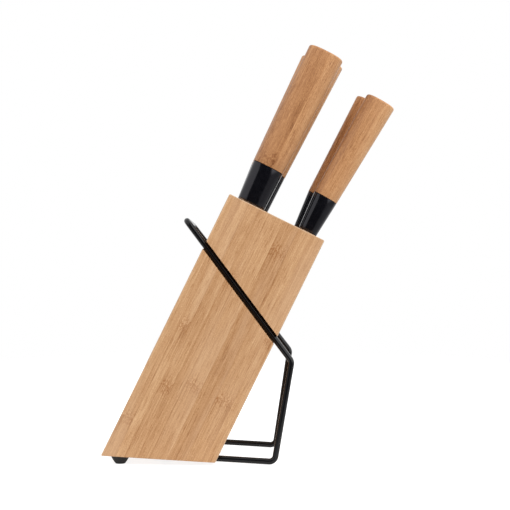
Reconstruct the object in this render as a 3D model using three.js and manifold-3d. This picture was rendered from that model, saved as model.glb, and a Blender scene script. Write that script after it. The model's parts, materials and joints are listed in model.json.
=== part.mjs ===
// A slanted bamboo knife block on a bent-rod stand, with five knives in it.
// Millimetres, +Z up. The block leans towards +X, its narrow toe is at -X, and its glued boards are
// stacked along Y, with a thin layer of strips between each two that leaves room for one blade.
// The origin is on the surface it stands on, under the middle of the whole object.

import Module from "manifold-3d";
import * as THREE from "three";
import { mergeVertices } from "three/addons/utils/BufferGeometryUtils.js";

const rad = THREE.MathUtils.degToRad;

// ---- driving dimensions -------------------------------------------------------------------------

// The block, in its own frame: X from the front face to the back face, Z up along the slant.
const SLANT = 63.8; // degrees from the floor to the block's long edges
const BLOCK_FRONT = 233.8; // long edge of the front face
const BLOCK_BACK = 198.4; // long edge of the back face, shorter because the underside is cut flat
const BLOCK_DEPTH = 84.8; // front face to back face
const BLOCK_WIDTH = 90;
const BLOCK_CORNER = 1.3; // rounding of the long corners
const BLOCK_EDGE = 0.5; // rounding of the edges around the two sides
const TOE_X = -119.21; // bottom front corner of the block
const TOE_Z = 8.2;
const GLUE_LINE = 0.1; // gap between two boards
const LAYER = 3.2; // thickness of the layer between two boards, and so of the slot in it
const TIP_GAP = 0.4; // between a blade's tip and the bottom of its slot, when fully home
const BOARD_NAMES = [
  "right_cheek_board",
  "right_outer_board",
  "right_inner_board",
  "left_inner_board",
  "left_outer_board",
  "left_cheek_board",
];

// The stand, one rod bent into two side frames. Each frame's corners are [x, z] where its lines meet.
// The left frame was bent a little taller and further back than the right one.
const ROD = 2.5; // radius of the rod
const ROD_SIDES = 12;
const STAND_HALF = 38.5; // middle plane of each side frame
const REAR_BAR_X = -69.4; // crossbar under the block
const RIGHT_FRAME = { side: -1, floor: [20.1, 2.26], top: [33.9, 83.2] };
const LEFT_FRAME = { side: 1, floor: [22.3, 2.26], top: [34.9, 86] };
const FRONT_BAR = [-50.8, 196.8]; // crossbar in front of the block
const CROSSBAR_BEND = 5.5; // bend radii, to the middle of the rod
const FLOOR_BEND = 5;
const TOP_BEND = 6;
const BEND_STEPS = 6;
const ROD_END_GAP = 0.6; // between the rod's two ends, under the block
const GROOVE = 6.2; // width of the groove that holds the rod
const SIDE_GROOVE_DEPTH = 9.3;

// The feet and their screws.
const FOOT_X = -105.2;
const FOOT_Y = 32;
const FOOT_TOP = 7.5; // radii of the rubber foot
const FOOT_BASE = 4.1;
const FOOT_RECESS = 2.5; // the screw's recess, radius and depth
const FOOT_RECESS_DEPTH = 4.3;
const FOOT_HOLE = 1.6;
const FOOT_GAP = 0.2; // between the foot and the underside
const SCREW_HEAD = 2.1;
const SCREW_HEAD_HEIGHT = 1.5;
const SCREW_SHANK = 1.2;
const SCREW_TOP = 16.5;

// The knives, each in its own frame: Z up the handle from the bottom of the ferrule, X towards the
// back of the block. Widths are along X and thicknesses along Y.
const LARGE = {
  ferrule: 32.4,
  wood: 106.2,
  seat: { width: 23.8, thickness: 17, shift: 1 }, // bottom of the ferrule
  neck: { width: 26.3, thickness: 18.6, shift: 0 }, // where ferrule and wood meet
  butt: { width: 30.5, thickness: 21.2, shift: 0.3 },
  tang: 11,
  tangInWood: 62,
  blade: 2,
  spine: -9,
  edgeSide: 1,
  slot: [5, 56],
};
const SMALL = {
  ferrule: 31.8,
  wood: 93.6,
  seat: { width: 16.1, thickness: 12.6, shift: 1 },
  neck: { width: 20.9, thickness: 15.6, shift: 0 },
  butt: { width: 26, thickness: 18.4, shift: 0.4 },
  tang: 8,
  tangInWood: 50,
  blade: 1.6,
  spine: 7,
  edgeSide: -1,
  slot: [40, 80],
};

// Each knife's seat: its row along Y, which is also the middle of its layer, its place across the top
// of the block, its angle above the floor, and how far it stands short of fully home.
const SEATS = {
  chef: { size: LARGE, row: -27, across: 17.5, steep: 63.2, raised: 0 },
  bread: { size: LARGE, row: 0, across: 20.1, steep: 63.5, raised: 1 },
  carving: { size: LARGE, row: 27, across: 14.7, steep: 64, raised: 2.2 },
  utility: { size: SMALL, row: -14, across: 69.2, steep: 60.3, raised: 0 },
  paring: { size: SMALL, row: 14, across: 65.5, steep: 61.6, raised: 1.4 },
};
// Each blade: its length below the ferrule, its width at the heel, and where the tip falls across it.
const BLADES = {
  chef: { length: 200, width: 45, tip: 0.42 },
  bread: { length: 200, width: 32, tip: 0.2 },
  carving: { length: 200, width: 28, tip: 0.3 },
  utility: { length: 125, width: 24, tip: 0.36 },
  paring: { length: 90, width: 20, tip: 0.36 },
};
const KNIVES = Object.keys(SEATS).map((name) => ({ name, ...SEATS[name], ...BLADES[name] }));
const PAST = [-BLOCK_FRONT, BLOCK_FRONT * 2]; // from outside the block to outside it again
const SEAT_GAP = 1.5; // lowest corner of the ferrule above the block, when fully home
const JUNCTION_GAP = 0.3; // between ferrule and wood
const TANG_CLEARANCE = 0.35;
const BUTT_ROUND = 1.5;
const BUTT_CROWN = 1.1;
const OVAL_SIDES = 28;
const OVAL_POWER = 2.5; // 2 is an ellipse, more is squarer
const EDGE_THINNESS = 0.15; // blade thickness at the edge, as a share of the spine's
const HEEL = 1; // blade's heel below the ferrule
const SERRATION_PITCH = 7;
const SERRATION_DEPTH = 1.3;

// ---- materials ----------------------------------------------------------------------------------

const bamboo = new THREE.MeshStandardMaterial({ color: 0xdcb68c, roughness: 0.6, metalness: 0 });
const handleBamboo = new THREE.MeshStandardMaterial({ color: 0xd0a070, roughness: 0.5, metalness: 0 });
const blackPlastic = new THREE.MeshStandardMaterial({ color: 0x15161b, roughness: 0.2, metalness: 0 });
const blackPaint = new THREE.MeshStandardMaterial({ color: 0x1a1a1c, roughness: 0.4, metalness: 0.3 });
const rubber = new THREE.MeshStandardMaterial({ color: 0x18181a, roughness: 0.8, metalness: 0 });
const bladeSteel = new THREE.MeshStandardMaterial({ color: 0xc4c6c8, roughness: 0.25, metalness: 1 });
const screwSteel = new THREE.MeshStandardMaterial({ color: 0x9a9ca0, roughness: 0.35, metalness: 1 });

// ---- shape tools --------------------------------------------------------------------------------

const wasm = await Module();
wasm.setup();

// A closed geometry as a solid that can be cut and joined.
function solid(geometry) {
  const bare = geometry.clone();
  bare.deleteAttribute("normal");
  bare.deleteAttribute("uv");
  const merged = mergeVertices(bare);
  const corners = merged.index.array;
  const kept = [];
  for (let i = 0; i < corners.length; i += 3) {
    const [a, b, c] = corners.slice(i, i + 3);
    if (a !== b && b !== c && c !== a) {
      kept.push(a, b, c);
    }
  }
  return new wasm.Manifold(new wasm.Mesh({
    numProp: 3,
    vertProperties: merged.attributes.position.array,
    triVerts: Uint32Array.from(kept),
  }));
}

function geometryOf(body) {
  const { vertProperties, triVerts } = body.getMesh();
  const geometry = new THREE.BufferGeometry();
  geometry.setAttribute("position", new THREE.BufferAttribute(vertProperties, 3));
  geometry.setIndex(new THREE.BufferAttribute(triVerts, 1));
  geometry.computeVertexNormals();
  return geometry;
}

function piece(name, body, material) {
  const mesh = new THREE.Mesh(geometryOf(body), material);
  mesh.name = name;
  return mesh;
}

// A box between two corners.
function box([x0, x1], [y0, y1], [z0, z1]) {
  const geometry = new THREE.BoxGeometry(x1 - x0, y1 - y0, z1 - z0);
  return geometry.translate((x0 + x1) / 2, (y0 + y1) / 2, (z0 + z1) / 2);
}

// An outline in the XZ plane, given thickness along Y and centred on Y = 0.
function plate(shape, thickness, options = {}) {
  const geometry = new THREE.ExtrudeGeometry(shape, { depth: thickness, bevelEnabled: false, ...options });
  return geometry.translate(0, 0, -thickness / 2).rotateX(Math.PI / 2);
}

// A turned solid about Z; the profile is [radius, height] from axis to axis, going up.
function turned(profile, sides = 24) {
  const points = profile.map(([radius, height]) => new THREE.Vector2(radius, height));
  return new THREE.LatheGeometry(points, sides).rotateX(Math.PI / 2);
}

// A polygon with each corner rounded to the same radius.
function roundedPolygon(corners, radius) {
  const shape = new THREE.Shape();
  corners.forEach((corner, i) => {
    const before = corners.at(i - 1);
    const after = corners[(i + 1) % corners.length];
    const start = corner.clone().add(before.clone().sub(corner).setLength(radius));
    const end = corner.clone().add(after.clone().sub(corner).setLength(radius));
    if (i === 0) {
      shape.moveTo(start.x, start.y);
    } else {
      shape.lineTo(start.x, start.y);
    }
    shape.quadraticCurveTo(corner.x, corner.y, end.x, end.y);
  });
  shape.closePath();
  return shape;
}

// ---- frames -------------------------------------------------------------------------------------

const slanted = new THREE.Group();
slanted.position.set(TOE_X, 0, TOE_Z);
slanted.rotation.y = rad(90 - SLANT);
slanted.updateMatrix();
const intoBlock = slanted.matrix.clone().invert();

const blockHeel = new THREE.Vector2(BLOCK_DEPTH, BLOCK_FRONT - BLOCK_BACK);
const underside = new THREE.Vector3(blockHeel.x, 0, blockHeel.y).applyMatrix4(slanted.matrix);
const undersideSlope = Math.atan2(underside.z - TOE_Z, underside.x - TOE_X);

// Height of the block's underside over a point on the floor.
function undersideAt(x) {
  return TOE_Z + (x - TOE_X) * Math.tan(undersideSlope);
}

const rearBar = new THREE.Vector3(REAR_BAR_X, 0, undersideAt(REAR_BAR_X) + ROD);

// ---- the stand ----------------------------------------------------------------------------------

// A rod through a list of points, with one ring of vertices at each.
class BentRod extends THREE.Curve {
  constructor(points) {
    super();
    this.points = points;
  }

  getPoint(t) {
    return this.points[Math.round(t * (this.points.length - 1))].clone();
  }

  getPointAt(u) {
    return this.getPoint(u);
  }

  getTangentAt(u) {
    const last = this.points.length - 1;
    const i = Math.round(u * last);
    const ahead = this.points[Math.min(i + 1, last)].clone().sub(this.points[i]).normalize();
    const behind = this.points[i].clone().sub(this.points[Math.max(i - 1, 0)]).normalize();
    return ahead.add(behind).normalize();
  }
}

// Points along a circular bend of the given radius around the corner of three points.
function bend(before, corner, after, radius) {
  const back = before.clone().sub(corner).normalize();
  const forward = after.clone().sub(corner).normalize();
  const turn = Math.PI - back.angleTo(forward);
  const reach = radius * Math.tan(turn / 2);
  const start = corner.clone().addScaledVector(back, reach);
  const inward = back.clone().add(forward).normalize();
  const centre = corner.clone().addScaledVector(inward, radius / Math.cos(turn / 2));
  const axis = new THREE.Vector3().crossVectors(forward, back).normalize();
  const spoke = start.clone().sub(centre);
  const points = [];
  for (let i = 0; i <= BEND_STEPS; i += 1) {
    const swung = spoke.clone().applyAxisAngle(axis, (turn * i) / BEND_STEPS);
    points.push(centre.clone().add(swung));
  }
  return points;
}

function makeStand() {
  const sideFrame = ({ side, floor, top }) => {
    const place = ([x, z]) => new THREE.Vector3(x, side * STAND_HALF, z);
    return [
      [place([rearBar.x, rearBar.z]), CROSSBAR_BEND],
      [place(floor), FLOOR_BEND],
      [place(top), TOP_BEND],
      [place(FRONT_BAR), CROSSBAR_BEND],
    ];
  };
  const corners = [...sideFrame(RIGHT_FRAME), ...sideFrame(LEFT_FRAME).reverse()];
  const start = new THREE.Vector3(rearBar.x, -ROD_END_GAP / 2, rearBar.z);
  const end = new THREE.Vector3(rearBar.x, ROD_END_GAP / 2, rearBar.z);
  const stops = [start, ...corners.map(([corner]) => corner), end];
  const points = [start];
  corners.forEach(([corner, radius], i) => {
    points.push(...bend(stops[i], corner, stops[i + 2], radius));
  });
  points.push(end);

  const section = new THREE.Shape();
  section.absarc(0, 0, ROD, 0, Math.PI * 2);
  const rod = new THREE.ExtrudeGeometry(section, {
    steps: points.length - 1,
    curveSegments: ROD_SIDES / 2,
    extrudePath: new BentRod(points),
  });
  return piece("wire_stand", solid(rod), blackPaint);
}

// The straight groove in one side of the block, as a cutter in the block's frame.
function sideGroove({ side, top }) {
  const run = new THREE.Vector2(FRONT_BAR[0] - top[0], FRONT_BAR[1] - top[1]);
  const cutter = new THREE.BoxGeometry(run.length(), SIDE_GROOVE_DEPTH * 2, GROOVE);
  cutter.rotateY(-run.angle());
  cutter.translate(top[0] + run.x / 2, (side * BLOCK_WIDTH) / 2, top[1] + run.y / 2);
  return solid(cutter.applyMatrix4(intoBlock));
}

// The U-shaped groove in the underside, for the rear crossbar and both bottom runs.
function undersideGroove() {
  const half = GROOVE / 2;
  const middle = STAND_HALF - CROSSBAR_BEND; // centres of the two bends
  const open = underside.x - rearBar.x + GROOVE; // past the back face
  const outer = CROSSBAR_BEND + half;
  const inner = CROSSBAR_BEND - half;
  const plan = new THREE.Shape();
  plan.moveTo(open, -STAND_HALF - half);
  plan.lineTo(CROSSBAR_BEND, -STAND_HALF - half);
  plan.absarc(CROSSBAR_BEND, -middle, outer, -Math.PI / 2, -Math.PI, true);
  plan.absarc(CROSSBAR_BEND, middle, outer, Math.PI, Math.PI / 2, true);
  plan.lineTo(open, STAND_HALF + half);
  plan.lineTo(open, STAND_HALF - half);
  plan.absarc(CROSSBAR_BEND, middle, inner, Math.PI / 2, Math.PI, false);
  plan.absarc(CROSSBAR_BEND, -middle, inner, Math.PI, Math.PI * 1.5, false);
  plan.lineTo(open, -STAND_HALF + half);
  plan.closePath();
  const depth = GROOVE * 1.5; // more than needed, so that it cuts clean through the underside
  const cutter = new THREE.ExtrudeGeometry(plan, { depth, bevelEnabled: false, curveSegments: 4 });
  cutter.translate(0, 0, half - depth);
  cutter.rotateY(-undersideSlope);
  cutter.translate(rearBar.x, 0, rearBar.z);
  return solid(cutter.applyMatrix4(intoBlock));
}

// ---- the block ----------------------------------------------------------------------------------

function screwHoleCutter(side) {
  const hole = new THREE.CylinderGeometry(FOOT_HOLE, FOOT_HOLE, SCREW_TOP * 2, 16).rotateX(Math.PI / 2);
  hole.translate(FOOT_X, side * FOOT_Y, 1);
  return solid(hole.applyMatrix4(intoBlock));
}

// The whole block as one solid, with its grooves and screw holes.
function makeBlank() {
  const outline = roundedPolygon([
    new THREE.Vector2(0, 0),
    blockHeel,
    new THREE.Vector2(BLOCK_DEPTH, BLOCK_FRONT),
    new THREE.Vector2(0, BLOCK_FRONT),
  ], BLOCK_CORNER);
  const billet = new THREE.ExtrudeGeometry(outline, {
    depth: BLOCK_WIDTH - 2 * BLOCK_EDGE,
    curveSegments: 4,
    bevelThickness: BLOCK_EDGE,
    bevelSize: BLOCK_EDGE,
    bevelOffset: -BLOCK_EDGE,
    bevelSegments: 3,
  });
  billet.translate(0, 0, BLOCK_EDGE - BLOCK_WIDTH / 2).rotateX(Math.PI / 2);
  let block = solid(billet).subtract(undersideGroove());
  for (const frame of [RIGHT_FRAME, LEFT_FRAME]) {
    block = block.subtract(sideGroove(frame)).subtract(screwHoleCutter(frame.side));
  }
  return block;
}

// One board or strip of the block, with half a glue line taken off each side that meets another.
function cutOut(name, block, [x0, x1], [y0, y1], [z0, z1]) {
  const half = GLUE_LINE / 2;
  const part = box([x0 + half, x1 - half], [y0 + half, y1 - half], [z0 + half, z1 - half]);
  return piece(name, block.intersect(solid(part)), bamboo);
}

function makeBoards(block) {
  const rows = KNIVES.map(({ row }) => row).sort((a, b) => a - b);
  const starts = [-BLOCK_WIDTH, ...rows.map((row) => row + LAYER / 2)];
  const ends = [...rows.map((row) => row - LAYER / 2), BLOCK_WIDTH];
  return BOARD_NAMES.map((name, i) => cutOut(name, block, PAST, [starts[i], ends[i]], PAST));
}

// A knife's place when fully home: its lean in the block's frame, and the height of its origin.
function seat({ size, steep }) {
  const lean = rad(SLANT - steep);
  const lowCorner = (size.seat.width / 2 + size.seat.shift) * Math.abs(Math.sin(lean));
  return { lean, height: BLOCK_FRONT + SEAT_GAP + lowCorner };
}

// A knife's layer: strips in front of the blade, behind it and below its tip, with its slot between.
function makeLayer(block, knife) {
  const { name, size, row, length } = knife;
  const { lean, height } = seat(knife);
  const layer = [row - LAYER / 2, row + LAYER / 2];
  const [front, back] = size.slot;
  const floor = height - length * Math.cos(lean) - TIP_GAP;
  return [
    cutOut(`${name}_front_strip`, block, [PAST[0], front], layer, PAST),
    cutOut(`${name}_back_strip`, block, [back, PAST[1]], layer, PAST),
    cutOut(`${name}_end_strip`, block, [front, back], layer, [PAST[0], floor]),
  ];
}

// ---- the feet -----------------------------------------------------------------------------------

function makeFoot(name, side) {
  const height = TOE_Z * 1.5; // longer than needed, then cut to the underside
  const above = new THREE.BoxGeometry(BLOCK_WIDTH, BLOCK_WIDTH, height * 2);
  above.translate(0, 0, height).rotateY(-undersideSlope);
  above.translate(FOOT_X, 0, undersideAt(FOOT_X) - FOOT_GAP);
  const bowl = turned([
    [0, 0],
    [FOOT_BASE - 0.4, 0],
    [FOOT_BASE, 0.25],
    [FOOT_BASE + 0.8, 1.3],
    [FOOT_TOP - 1.5, 2.9],
    [FOOT_TOP - 0.4, 4.9],
    [FOOT_TOP, 6.4],
    [FOOT_TOP, height],
    [0, height],
  ]);
  const recess = new THREE.CylinderGeometry(FOOT_RECESS, FOOT_RECESS, FOOT_RECESS_DEPTH * 2, 20);
  const hole = new THREE.CylinderGeometry(FOOT_HOLE, FOOT_HOLE, height * 4, 16);
  const body = solid(bowl)
    .subtract(solid(recess.rotateX(Math.PI / 2)))
    .subtract(solid(hole.rotateX(Math.PI / 2)));
  const placed = body.translate([FOOT_X, side * FOOT_Y, 0]).subtract(solid(above));
  return piece(name, placed, rubber);
}

function makeScrew(name, side) {
  const head = FOOT_RECESS_DEPTH - 0.3;
  const bottom = head - SCREW_HEAD_HEIGHT;
  const mesh = piece(name, solid(turned([
    [0, bottom],
    [SCREW_HEAD * 0.7, bottom],
    [SCREW_HEAD, bottom + 0.5],
    [SCREW_HEAD, head],
    [SCREW_SHANK, head],
    [SCREW_SHANK, SCREW_TOP - 3],
    [0, SCREW_TOP],
  ], 20)), screwSteel);
  mesh.position.set(FOOT_X, side * FOOT_Y, 0);
  return mesh;
}

// ---- the knives ---------------------------------------------------------------------------------

// A solid with a squared-oval section. The profile is [share of the section, height] from axis to
// axis, and the section goes evenly from one end's size to the other's.
function ovalSolid(profile, low, high, length) {
  const geometry = turned(profile, OVAL_SIDES);
  const places = geometry.attributes.position;
  const squared = (wave) => Math.sign(wave) * Math.abs(wave) ** (2 / OVAL_POWER);
  for (let i = 0; i < places.count; i += 1) {
    const height = places.getZ(i);
    const share = Math.hypot(places.getX(i), places.getY(i));
    const angle = Math.atan2(places.getY(i), places.getX(i));
    const blend = (key) => THREE.MathUtils.lerp(low[key], high[key], height / length);
    const x = blend("shift") + (blend("width") / 2) * share * squared(Math.cos(angle));
    const y = (blend("thickness") / 2) * share * squared(Math.sin(angle));
    places.setXYZ(i, x, y, height);
  }
  return solid(geometry);
}

function makeFerrule({ name, size }) {
  const { ferrule, seat, neck, tang, blade } = size;
  const shell = ovalSolid([[0, 0], [0.97, 0], [1, 0.6], [1, ferrule], [0, ferrule]], seat, neck, ferrule);
  const half = tang / 2 + TANG_CLEARANCE;
  const halfThickness = blade / 2 + TANG_CLEARANCE;
  const way = box([-half, half], [-halfThickness, halfThickness], [-5, ferrule + 5]);
  return piece(`${name}_ferrule`, shell.subtract(solid(way)), blackPlastic);
}

function makeHandle({ name, size }) {
  const { ferrule, wood, neck, butt, tang, tangInWood, blade } = size;
  const length = wood - JUNCTION_GAP;
  const shoulder = length - BUTT_CROWN;
  const crowned = (share) => shoulder + BUTT_CROWN * (1 - share * share);
  const body = ovalSolid([
    [0, 0],
    [1, 0],
    [1, shoulder - BUTT_ROUND],
    [0.97, shoulder - BUTT_ROUND * 0.35],
    [0.9, shoulder],
    [0.6, crowned(0.6)],
    [0.3, crowned(0.3)],
    [0, length],
  ], neck, butt, length);
  const half = tang / 2 + TANG_CLEARANCE;
  const halfThickness = blade / 2 + TANG_CLEARANCE;
  const pocket = box([-half, half], [-halfThickness, halfThickness], [-5, tangInWood + 1]);
  const mesh = piece(`${name}_handle`, body.subtract(solid(pocket)), handleBamboo);
  mesh.position.z = ferrule + JUNCTION_GAP;
  return mesh;
}

// The blade's outline and its tang: spine down to the tip, back up the edge to the heel, then the tang.
function bladeOutline({ name, size, length, width, tip }) {
  const { ferrule, tang, tangInWood, spine, edgeSide } = size;
  const across = (distance) => spine + edgeSide * distance;
  const tangTop = ferrule + tangInWood;
  const shape = new THREE.Shape();
  shape.moveTo(across(0), -HEEL);
  shape.lineTo(across(0), -length * 0.62);
  shape.quadraticCurveTo(across(0), -length * 0.88, across(width * tip), -length);
  if (name === "bread") {
    const first = -length + SERRATION_PITCH;
    const count = Math.floor((length - SERRATION_PITCH - 10) / SERRATION_PITCH);
    shape.quadraticCurveTo(across(width * 0.75), -length + 1, across(width), first);
    for (let i = 0; i < count; i += 1) {
      const start = first + i * SERRATION_PITCH;
      const dip = across(width - 2 * SERRATION_DEPTH);
      shape.quadraticCurveTo(dip, start + SERRATION_PITCH / 2, across(width), start + SERRATION_PITCH);
    }
  } else {
    shape.quadraticCurveTo(across(width * 0.97), -length * 0.82, across(width), -length * 0.42);
  }
  shape.lineTo(across(width), -HEEL - 4);
  shape.quadraticCurveTo(across(width), -HEEL, across(width - 4), -HEEL);
  shape.lineTo((edgeSide * tang) / 2, -HEEL);
  shape.lineTo((edgeSide * tang) / 2, tangTop - 8);
  shape.lineTo((edgeSide * tang) / 4, tangTop);
  shape.lineTo((-edgeSide * tang) / 2, tangTop);
  shape.lineTo((-edgeSide * tang) / 2, -HEEL);
  shape.closePath();
  return shape;
}

function makeBlade(knife) {
  const { name, size, width } = knife;
  const geometry = plate(bladeOutline(knife), size.blade, { curveSegments: name === "bread" ? 4 : 8 });
  const places = geometry.attributes.position;
  for (let i = 0; i < places.count; i += 1) {
    const fromSpine = Math.abs(places.getX(i) - size.spine) / width;
    places.setY(i, places.getY(i) * (1 - (1 - EDGE_THINNESS) * fromSpine));
  }
  return piece(`${name}_blade`, solid(geometry), bladeSteel);
}

function makeKnife(knife) {
  const { lean, height } = seat(knife);
  const group = new THREE.Group();
  group.add(makeBlade(knife), makeFerrule(knife), makeHandle(knife));
  group.position.set(knife.across, knife.row, height + knife.raised);
  group.rotation.y = lean;
  return group;
}

// ---- the whole object ---------------------------------------------------------------------------

const blank = makeBlank();
slanted.add(...makeBoards(blank));
for (const knife of KNIVES) {
  slanted.add(...makeLayer(blank, knife), makeKnife(knife));
}

const knifeBlock = new THREE.Group();
knifeBlock.add(
  slanted,
  makeStand(),
  makeFoot("right_foot", -1),
  makeFoot("left_foot", 1),
  makeScrew("right_foot_screw", -1),
  makeScrew("left_foot_screw", 1),
);

export default knifeBlock;
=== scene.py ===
import json
import math

import bmesh
import bpy
import numpy as np
from mathutils import Matrix, Vector


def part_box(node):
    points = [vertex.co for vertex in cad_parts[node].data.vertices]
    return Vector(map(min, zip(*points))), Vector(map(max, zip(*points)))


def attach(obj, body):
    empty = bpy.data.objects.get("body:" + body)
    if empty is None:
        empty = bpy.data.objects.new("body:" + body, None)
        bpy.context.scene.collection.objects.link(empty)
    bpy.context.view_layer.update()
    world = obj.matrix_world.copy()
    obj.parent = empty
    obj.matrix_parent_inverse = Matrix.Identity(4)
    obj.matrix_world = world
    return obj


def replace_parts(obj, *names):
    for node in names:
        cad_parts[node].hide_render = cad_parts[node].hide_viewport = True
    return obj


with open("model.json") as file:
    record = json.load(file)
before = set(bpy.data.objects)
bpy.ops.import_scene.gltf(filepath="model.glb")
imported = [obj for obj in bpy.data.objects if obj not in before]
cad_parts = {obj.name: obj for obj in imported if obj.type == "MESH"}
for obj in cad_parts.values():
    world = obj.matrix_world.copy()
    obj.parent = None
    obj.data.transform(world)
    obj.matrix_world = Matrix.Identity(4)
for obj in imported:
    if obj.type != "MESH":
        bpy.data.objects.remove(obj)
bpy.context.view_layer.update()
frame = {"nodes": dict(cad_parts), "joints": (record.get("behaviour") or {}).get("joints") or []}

# ---- driving sizes, in millimetres unless a name says otherwise ----------------------------------

MM = 0.001
SLANT = 63.8  # degrees from the floor to the block's long edges
KNIVES = ("chef", "bread", "carving", "utility", "paring")
BOARDS = ("right_cheek", "right_outer", "right_inner", "left_inner", "left_outer", "left_cheek")
LAYER = 5.5  # thickness of one layer of bamboo in a board
OUTER_SKIN = 0.15  # sanded off the outermost layer, so that no face lies in a glue line

# The rod's route: the corners of each side frame as (x, z), where its lines meet.
ROD_RADIUS = 2.5
STAND_HALF = 38.5
REAR_BAR_X = -69.4
RIGHT_FRAME = ((20.1, 2.26), (33.9, 83.2))
LEFT_FRAME = ((22.3, 2.26), (34.9, 86.0))
FRONT_BAR = (-50.8, 196.8)
BEND_RADII = (5.5, 5, 6, 5.5)  # rear bar, floor, top and front bar, to the middle of the rod
BEND_STEPS = 14
ROD_END_GAP = 0.6  # the rod's two ends nearly meet in the middle of the rear bar

# The feet, turned: (radius, height) from the floor up, and a recess for the screw's head.
FOOT_PLACE = (-105.2, 32)
FOOT_LIP = ((1.1, 0.0), (0.45, 0.0), (0.15, 0.06))  # inwards from the first radius, and height
FOOT_PROFILE = ((4.1, 0.25), (4.9, 1.3), (6.0, 2.9), (7.1, 4.9), (7.5, 6.4))
FOOT_RECESS = (2.5, 4.3)  # radius and depth
FOOT_CHAMFER = (0.25, 0.3)  # of the recess's rim: outwards and up
FOOT_HOLE = 1.6
TURNED_SIDES = 56

# The screws, seen from below: (radius, height above the head's lowest point), and a cross recess.
SCREW_CROWN = ((0.35, 0.0), (0.95, 0.08), (1.45, 0.28), (1.82, 0.60), (2.02, 1.0))
SCREW_HEAD = 2.1
SCREW_HEAD_TOP = 4.0
SCREW_SHANK = 1.15
SCREW_POINT = 3  # length of the point
CROSS_LENGTH = (2.1, 1.1)  # of an arm of the cross, at its mouth and at its bottom
CROSS_WIDTH = 0.42
CROSS_DEPTH = 0.95
CROSS_START = 0.5  # how far below the head the cutter starts

# The blades, in a knife's own frame: Z up the handle from the bottom of the ferrule, X towards the
# back of the block. The edge is on the side that the sign gives. tip is how far the point lies from
# the straight back, as a part of the width.
LARGE_TANG = {"spine": -9, "edge_side": 1, "thickness": 2.0, "tang": 11, "tang_top": 94}
SMALL_TANG = {"spine": 7, "edge_side": -1, "thickness": 1.6, "tang": 8, "tang_top": 81}
BLADES = {
    "chef": {**LARGE_TANG, "length": 200, "width": 45, "tip": 0.42},
    "bread": {**LARGE_TANG, "length": 200, "width": 32, "tip": 0.20},
    "carving": {**LARGE_TANG, "length": 200, "width": 28, "tip": 0.30},
    "utility": {**SMALL_TANG, "length": 125, "width": 24, "tip": 0.36},
    "paring": {**SMALL_TANG, "length": 90, "width": 20, "tip": 0.36},
}
HEEL = 1  # the heel lies this far below the ferrule
HEEL_ROUND = 4
HEEL_POWER = 1.6
SPINE_CURVE = (0.62, 0.88)  # its start and middle, as parts of the length
EDGE_CURVE = (0.42, 0.82, 0.97)  # the same, and its middle's distance as a part of the width
SERRATION_PITCH = 7
SERRATION_DEPTH = 1.3
SERRATION_END = 10  # no serrations nearer to the ferrule than this
GRIND = 0.85  # how much of the thickness the flat grind takes off by the edge
BEVEL = 0.9
EDGE_HALF = 0.03  # half the thickness at the very edge
SPINE_ROUND = 0.25
TANG_POINT = 8
BLADE_STEPS = 46  # sections between the tip and the heel
SERRATED_STEPS = 184
TIP_HEIGHTS = (0.02, 0.37, 0.72, 1.07)  # the sections nearest to the tip, above it
TIP_END = 1.5  # where the even sections begin

# The handles' section: 2 is an ellipse, more is squarer.
OVAL_POWER = 2.5
OVAL_SIDES = 72
HANDLE_CROWN = 1.1
HANDLE_ROUND = 1.5
HANDLE_FOOT_ROUND = 0.25
FERRULE_ROUND = (0.7, 0.3)  # at the bottom and at the top
SHARP_ANGLES = {"knives": 30, "stand": 40}  # degrees

# The studio: how bright each side of the room is.
BACK_LIGHT = 1.0
LEFT_LIGHT = (0.3, 1.05)  # below and above the horizon
RIGHT_LIGHT = (0.35, 1.7)
TOP_LIGHT = 0.9
DARK_LIGHT = 0.02
LOW_LIGHT = 0.5  # the floor further out

# One soft lamp, high in front, and the floor, in metres.
LAMP_PLACE = (0.15, -1.0, 1.05)
LAMP_AIM = (0.0, 0.0, 0.16)
LAMP_SIZE = (1.2, 0.7)
LAMP_WATTS = 14.0
FLOOR_RADIUS = 2.6
FLOOR_MIDDLE = (0, 0.35, 0)
FLOOR_FADE = (0.25, 0.75)  # from the object's middle: opaque within, clear beyond
FLOOR_GLOW = (0.3, 0.82)  # for the light it gives, and as seen by the camera

# The photograph's viewpoint, in metres.
CAMERA_PLACE = (0.0056, -0.813, 0.1536)
CAMERA_LENS = 67.76
CAMERA_SENSOR = 36
CAMERA_SHIFT = (-0.0031, 0.0376)
CAMERA_CLIP = (0.05, 20)


# ---- the bamboo's strips and colours -------------------------------------------------------------

# Each noise: how often it changes across and along the grain, per millimetre, detail, roughness.
BAMBOO_NOISES = {
    "broad": (0.30, 0.006, 3.0, 0.60),
    "fibres": (0.95, 0.014, 4.0, 0.62),
    "fine": (3.2, 0.05, 3.0, 0.65),
    "clouds": (0.07, 0.025, 3.0, 0.60),
    "bundles": (1.9, 0.11, 3.0, 0.55),
    "flecks": (2.2, 0.70, 3.0, 0.70),
    "wave": (0.34, 0.0, 3.0, 0.60),
    "veins": (0.8, 0.012, 2.0, 0.50),
    "speckle": (0.8, 0.45, 3.0, 0.70),
    "blush": (0.05, 0.006, 2.0, 0.50),
}
# How far each of them moves the tone, from half below to half above.
TONE_SWINGS = {"broad": 0.6, "fibres": 0.9, "fine": 1.3, "flecks": 1.7}
CLOUD_SWING = 0.6

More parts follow.
